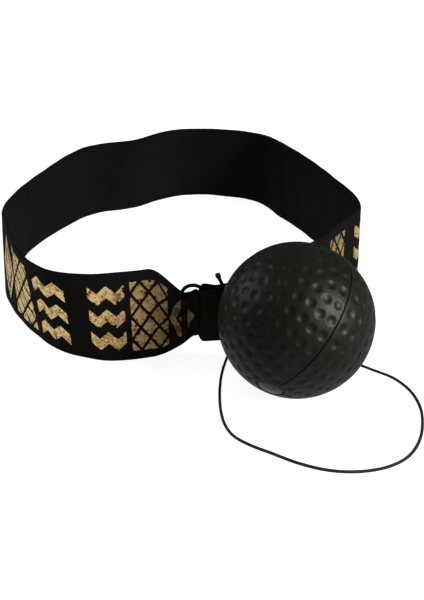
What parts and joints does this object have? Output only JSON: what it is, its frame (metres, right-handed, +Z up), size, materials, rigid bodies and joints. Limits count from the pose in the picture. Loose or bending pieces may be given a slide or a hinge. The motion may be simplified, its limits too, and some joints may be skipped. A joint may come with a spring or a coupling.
{
  "type": "reflex ball headband",
  "caption": "Elastic headband standing on its edge, with a dimpled foam ball on a thin cord tied to a folded webbing tab at its front.",
  "frame": {"origin": "on the surface the headband and ball stand on, under the middle of the box round everything but the cord", "axes": "+Z up, +Y from the ball at the front to the back of the headband, +X to the right as seen from the front"},
  "size_m": [0.1953, 0.2656, 0.0649],
  "materials": {
    "black_elastic": "matt woven elastic",
    "black_webbing": "matt folded webbing",
    "black_wire": "satin black coated wire",
    "cord_black": "braided elastic cord",
    "black_thread": "polyester sewing thread",
    "black_foam": "matt moulded foam skin with dimples",
    "black_plastic": "matt moulded",
    "gloss_plastic": "smooth gloss",
    "gold_foil": "distressed gold foil print"
  },
  "bodies": {
    "root": {"elastic_band": "black_elastic", "front_tab": "black_webbing", "eyelet": "black_wire", "eyelet_washer": "black_wire", "tab_thread_top": "black_thread", "tab_thread_bottom": "black_thread", "hem_thread_left": "black_thread", "hem_thread_right": "black_thread", "anchor_knot": "cord_black", "cord_tail": "cord_black", "cord_free": "cord_black", "cord_core": "cord_black", "stopper_knot": "cord_black"},
    "ball": {"ball_half_left": "black_foam", "ball_half_right": "black_foam", "bore_liner": "black_plastic", "retaining_washer": "black_plastic", "end_plug": "gloss_plastic"},
    "left_ring": {"ring_left": "black_wire"},
    "right_ring": {"ring_right": "black_wire"}
  },
  "joints": [
    {"name": "ball_spin", "type": "hinge", "parent": "root", "child": "ball", "pos_m": [0.0503, -0.0875, 0.0325], "axis": [-0.3609, -0.7749, -0.5189], "continuous": true},
    {"name": "ring_left_rock", "type": "hinge", "parent": "root", "child": "left_ring", "pos_m": [0.0119, -0.0608, 0.0215], "axis": [0, 0, 1], "range_deg": [-3, 3]},
    {"name": "ring_right_rock", "type": "hinge", "parent": "root", "child": "right_ring", "pos_m": [0.03745, -0.05305, 0.0215], "axis": [0, 0, 1], "range_deg": [-3, 3]}
  ]
}
